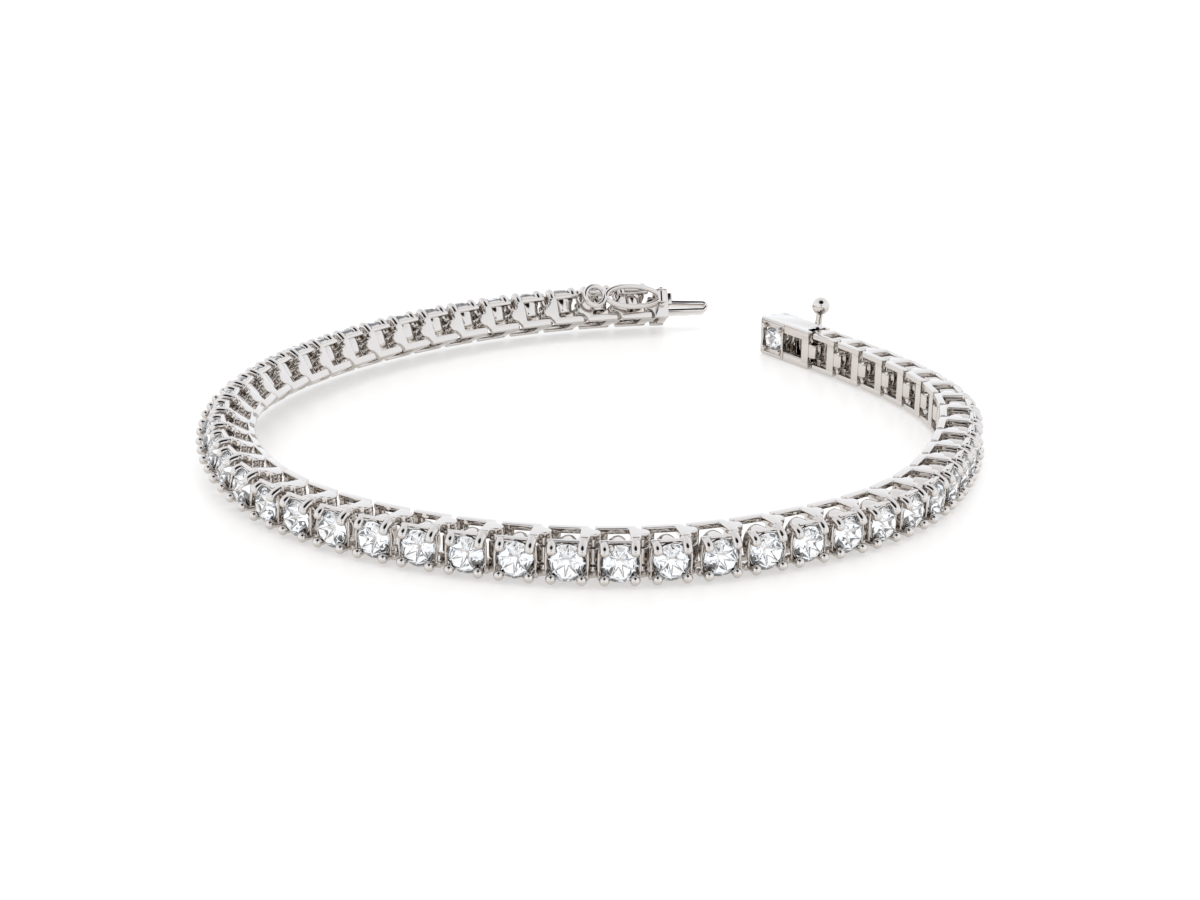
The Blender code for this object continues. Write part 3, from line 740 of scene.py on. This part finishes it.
def box_clasp_metal():
    """Top and bottom plates, inner and outer walls, prongs and cups, the inner stone's frame and the post."""
    parts = []
    outline = [(BOX_REAR, INNER_EDGE), (BOX_REAR, 0.66), (0.40, 0.60), (0.85, 0.60), (0.85, -0.86),
               (0.40, -0.86), (0.26, -0.95), (0.26, -1.42), (0.40, -1.50), (BOX_FRONT - 0.12, -1.50),
               (BOX_FRONT, -1.38), (BOX_FRONT, 1.08), (BOX_FRONT - 0.12, INNER_EDGE)]
    upper = slab(rounded(outline, 0.12, 3), 1.10, PLATE_TOP, 0.10, 3)
    for middle in (PITCH * 0.5, PITCH * 1.5):
        parts += [moved(gallery(), shift=(middle, 0, 0)), upper_prongs(middle), lower_prongs(middle),
                  cup(middle), moved(side_rails(), shift=(middle, 0, 0))]
    parts += [upper, flipped(upper)]
    # Wrist side: rails above and below the window, its rear bar, and the plate behind the inner stone
    rail = block((BOX_REAR, BOX_FRONT), (0.76, 1.18), (0.84, 1.60), 0.08, 2, 0.08)
    parts += [rail, flipped(rail), block((BOX_REAR, 1.08), (0.76, 1.19), (-1.5, 1.5), 0.10, 3, 0.10),
              block((3.36, BOX_FRONT), (-0.30, -0.05), (-1.5, 1.5), 0.06, 2, 0.08)]
    parts.append(block((0.30, BOX_FRONT), (-1.48, -0.70), (-1.3, 1.3), 0.06, 2, 0.08))
    # Square frame and beads round the inner stone
    deep = (0.80, 1.30)
    for z in (-1, 1):
        parts.append(block((INNER_STONE_X - FRAME_HALF, INNER_STONE_X + FRAME_HALF), deep,
                           (z * 1.42 - 0.16, z * 1.42 + 0.16), 0.07, 2, 0.08))
    for x in (-1, 1):
        bar_x = INNER_STONE_X + x * 1.38
        parts.append(block((bar_x - 0.15, bar_x + 0.15), deep, (-1.5, 1.5), 0.07, 2, 0.08))
        for z in (-1, 1):
            parts.append(ball((INNER_STONE_X + x * BEAD_OFFSET, 1.36, z * BEAD_OFFSET), BEAD, 10, 16))
    parts.append(knuckle_block())
    parts.append(ball_post())
    return joined(parts)


def ball_post():
    """The leaning stem with a flared foot, as rows of (height, radius), and its ball."""
    lean = math.tan(math.radians(POST_LEAN))
    z, r = np.array([(1.55, 0.62), (1.68, 0.60), (1.76, 0.48), (1.88, 0.38), (2.05, 0.32), (2.35, 0.29),
                     (2.80, 0.29), (3.30, 0.30)]).T
    path = np.stack([POST[0] - lean * (z - PLATE_TOP), np.full(len(z), POST[1]), z], 1)
    centre = (POST[0] - lean * (POST_BALL_Z - PLATE_TOP), POST[1], POST_BALL_Z)
    return joined([tube(path, r, 20), ball(centre, POST_BALL, 18, 28)])


def inner_stone():
    """The brilliant that faces the wrist."""
    shell = brilliant(settings().inner_stone_diameter / MM / 2)
    return moved(shell, turn_matrix("X", -90) @ turn_matrix("Z", 12), (INNER_STONE_X, 1.12, 0))


# Tongue clasp, in millimetres from the first link's rear pivot

BLOCK_REAR = -1.55
TONGUE_TIP = -4.92
FOLD_RADIUS = 0.33
LEAF_HALF = 0.15
TONGUE_HALF_Z = 0.80
HINGE = (-0.80, -0.55, 2.30)
LUG_OFFSET = 0.75
AXLE_HALF = 0.86
AXLE_RADIUS = 0.15
CATCH_TILT = 9.0


def tongue_clasp_metal():
    """The hinge block with its noses, the folded spring tongue, the thumb tab and the catch's lugs."""
    outline = [(BLOCK_REAR, INNER_EDGE), (BLOCK_REAR, -1.50), (-0.18, -1.50), (-0.14, -0.80), (0.10, -0.60),
               (0.34, -0.52), (0.52, -0.30), (0.52, 0.12), (0.36, 0.36), (0.05, 0.46), (-0.22, 0.85),
               (-0.24, INNER_EDGE)]
    upper = joined([slab(rounded(outline, PLATE_CORNER, 3), PLATE_LOW, PLATE_TOP, 0.10, 3),
                    moved(nose_block(), shift=(-PITCH / 2, 0, 0))])
    body = block((BLOCK_REAR + 0.02, -0.80), (-1.46, 1.16), (-1.3, 1.3), 0.12, 3, 0.14)
    thumb = block((BLOCK_REAR - 0.60, BLOCK_REAR + 0.10), (-1.35, -0.2), (-0.78, 0.78), 0.16, 4, 0.20)
    parts = [upper, flipped(upper), body, hinge_pin(0), spring_tongue(), thumb]
    x, y, z = HINGE
    for lug_y in (y - LUG_OFFSET, y + LUG_OFFSET):
        lug = rounded([(x - 0.26, 1.60), (x + 0.26, 1.60), (x + 0.26, 2.40), (x + 0.10, 2.56),
                       (x - 0.10, 2.56), (x - 0.26, 2.40)], 0.08, 3)
        parts.append(slab(lug, lug_y - 0.12, lug_y + 0.12, 0.04, 2, facing="Y"))
    parts.append(tube([(x, y - AXLE_HALF, z), (x, y + AXLE_HALF, z)], AXLE_RADIUS, 12, across=(1, 0, 0)))
    return joined(parts)


def spring_tongue():
    """Two leaves joined by a half-circle fold at the free end, as one bent strip."""
    a = np.linspace(math.pi / 2, 3 * math.pi / 2, 9)
    bend = np.stack([TONGUE_TIP + FOLD_RADIUS * np.cos(a), 0.03 + FOLD_RADIUS * np.sin(a)], 1)
    line = np.concatenate([[(BLOCK_REAR + 0.1, 0.36)], bend, [(BLOCK_REAR - 0.5, -0.40)]])
    ahead = np.gradient(line, axis=0)
    ahead /= np.linalg.norm(ahead, axis=1, keepdims=True)
    normal = np.stack([-ahead[:, 1], ahead[:, 0]], 1) * LEAF_HALF
    strip = np.concatenate([line + normal, (line - normal)[::-1]])
    return slab(strip, -TONGUE_HALF_Z, TONGUE_HALF_Z, 0.05, 2)


# Safety catch, in millimetres about its hinge

RING_X = 6.35
RING_RADIUS = 0.90
LOOP_X = 2.70
LOOP_HALF = 2.55
LOOP_RADIUS = 0.95
BARREL_BORE = 0.21
BARREL_RADIUS = 0.42
BARREL_HALF = 0.55
BARREL_EASE = 0.06


def safety_catch_metal():
    """A ring for the ball and a longer loop, both of round wire, and the hinge barrel. The loop is an ellipse
    a little wider toward the ring: (a cos s, b sin s (1 + cos s / 10))."""
    wire = settings().wire_diameter / MM / 2
    t = np.linspace(0, 2 * math.pi, 40, endpoint=False)
    s = np.linspace(0, 2 * math.pi, 56, endpoint=False)
    ring = np.stack([RING_X + RING_RADIUS * np.cos(t), RING_RADIUS * np.sin(t), np.zeros(len(t))], 1)
    loop = np.stack([LOOP_X + LOOP_HALF * np.cos(s), LOOP_RADIUS * np.sin(s) * (1 + 0.1 * np.cos(s)),
                     np.zeros(len(s))], 1)
    wires = [tube(path, wire, 12, across=(0, 0, 1), closed=True) for path in (ring, loop)]
    r, half, ease = BARREL_RADIUS, BARREL_HALF, BARREL_EASE
    barrel = [(BARREL_BORE, -half), (r - ease, -half), (r, ease - half), (r, half - ease), (r - ease, half),
              (BARREL_BORE, half)]
    return joined(wires + [spun(barrel, 20)])


# Stage

class BRACELET_OT_stage(bpy.types.Operator):
    """Lay the pale floor and set the soft light and the camera"""
    bl_idname = "bracelet.stage"
    bl_label = "Stage"

    def execute(self, context):
        lay_floor()
        set_light()
        set_camera()
        return {"FINISHED"}


def lay_floor():
    """A wide pale floor under the bracelet."""
    mesh = bpy.data.meshes.new("floor")
    r = FLOOR_HALF
    mesh.from_pydata([(-r, -r, 0), (r, -r, 0), (r, r, 0), (-r, r, 0)], [], [(0, 1, 2, 3)])
    mesh.materials.append(pale_floor("pale_floor", settings().floor_colour))
    floor = bpy.data.objects.new("floor", mesh)
    bpy.context.scene.collection.objects.link(floor)


def dark_disc(nodes, links, place, elevation, reach, softness, interpolation):
    """1 where the sky lies within reach degrees of a point straight ahead at this elevation, else 0."""
    toward = nodes.new("ShaderNodeVectorMath")
    toward.operation = "DOT_PRODUCT"
    e = math.radians(elevation)
    toward.inputs[1].default_value = (0.0, -math.cos(e), math.sin(e))
    links.new(place.outputs["Generated"], toward.inputs[0])
    disc = nodes.new("ShaderNodeMapRange")
    disc.interpolation_type = interpolation
    disc.inputs["From Min"].default_value = math.cos(math.radians(reach + softness))
    disc.inputs["From Max"].default_value = math.cos(math.radians(reach - softness))
    links.new(toward.outputs["Value"], disc.inputs["Value"])
    return disc.outputs["Result"]


def set_light():
    """A white light tent with a dark card overhead, toward the camera, and the dark lens opening."""
    world = bpy.data.worlds.new("light_tent")
    bpy.context.scene.world = world
    world.use_nodes = True
    nodes, links = world.node_tree.nodes, world.node_tree.links
    back = nodes["Background"]
    place = nodes.new("ShaderNodeTexCoord")
    apart = nodes.new("ShaderNodeSeparateXYZ")
    links.new(place.outputs["Generated"], apart.inputs["Vector"])
    ramp = nodes.new("ShaderNodeValToRGB")
    stops = ramp.color_ramp.elements
    stops[0].position, stops[0].color = 0.0, (0.94, 0.985, 1.045, 1)
    stops[1].position, stops[1].color = 1.0, (0.775, 0.80, 0.835, 1)
    middle = stops.new(0.5)
    middle.color = (0.935, 0.975, 1.03, 1)
    links.new(apart.outputs["Z"], ramp.inputs["Fac"])
    card = dark_disc(nodes, links, place, CARD_ELEVATION, CARD_REACH, CARD_SOFTNESS, "SMOOTHSTEP")
    lens = dark_disc(nodes, links, place, CAMERA_ELEVATION, LENS_REACH, LENS_SOFTNESS, "LINEAR")
    dark = nodes.new("ShaderNodeMath")
    dark.operation = "MAXIMUM"
    links.new(card, dark.inputs[0])
    links.new(lens, dark.inputs[1])
    mix = nodes.new("ShaderNodeMix")
    mix.data_type = "RGBA"
    links.new(dark.outputs["Value"], mix.inputs["Factor"])
    links.new(ramp.outputs["Color"], mix.inputs["A"])
    mix.inputs["B"].default_value = (0.012, 0.010, 0.009, 1)
    links.new(mix.outputs["Result"], back.inputs["Color"])
    back.inputs["Strength"].default_value = TENT_STRENGTH
    light = bpy.data.lights.new("overhead", "AREA")
    light.shape = "DISK"
    light.size = LAMP_WIDTH
    light.energy = LAMP_POWER
    lamp = bpy.data.objects.new("overhead", light)
    lamp.location = (0, 0, LAMP_HEIGHT)
    lamp.visible_glossy = False
    lamp.visible_transmission = False
    bpy.context.scene.collection.objects.link(lamp)
    bpy.context.scene.view_settings.view_transform = "Standard"


def set_camera():
    """The camera, at the photo's angle and distance."""
    data = bpy.data.cameras.new("camera")
    data.lens = CAMERA_LENS
    data.sensor_width = 36.0
    data.shift_x, data.shift_y = CAMERA_SHIFT
    data.clip_start = 0.01
    e = math.radians(CAMERA_ELEVATION)
    camera = bpy.data.objects.new("camera", data)
    x, y, z = CAMERA_MIDDLE
    back, up = CAMERA_DISTANCE * math.cos(e), CAMERA_DISTANCE * math.sin(e)
    camera.location = (x * MM, (y - back) * MM, (z + up) * MM)
    turn = turn_matrix("X", 90 - CAMERA_ELEVATION) @ turn_matrix("Z", CAMERA_ROLL)
    camera.rotation_euler = Matrix(turn.tolist()).to_euler()
    bpy.context.scene.collection.objects.link(camera)
    bpy.context.scene.camera = camera


class BRACELET_PT_panel(bpy.types.Panel):
    """The bracelet's pieces, sizes and colours"""
    bl_label = "Tennis Bracelet"
    bl_idname = "BRACELET_PT_panel"
    bl_space_type = "VIEW_3D"
    bl_region_type = "UI"
    bl_category = "Bracelet"

    def draw(self, context):
        for name in BraceletSettings.__annotations__:
            self.layout.prop(context.scene.bracelet, name)
        for operator in OPERATORS:
            self.layout.operator(operator.bl_idname)


OPERATORS = (BRACELET_OT_settings, BRACELET_OT_stones, BRACELET_OT_box_clasp, BRACELET_OT_tongue_clasp,
             BRACELET_OT_safety_catch, BRACELET_OT_stage)


def register():
    """Adds the operators, the panel and the scene's bracelet settings."""
    for cls in (BraceletSettings, *OPERATORS, BRACELET_PT_panel):
        bpy.utils.register_class(cls)
    bpy.types.Scene.bracelet = bpy.props.PointerProperty(type=BraceletSettings)


def unregister():
    """Takes them away again."""
    del bpy.types.Scene.bracelet
    for cls in reversed((BraceletSettings, *OPERATORS, BRACELET_PT_panel)):
        bpy.utils.unregister_class(cls)


def main():
    """Makes every piece and the stage."""
    register()
    bpy.ops.bracelet.settings()
    bpy.ops.bracelet.stones()
    bpy.ops.bracelet.box_clasp()
    bpy.ops.bracelet.tongue_clasp()
    bpy.ops.bracelet.safety_catch()
    bpy.ops.bracelet.stage()


if __name__ == "__main__":
    main()
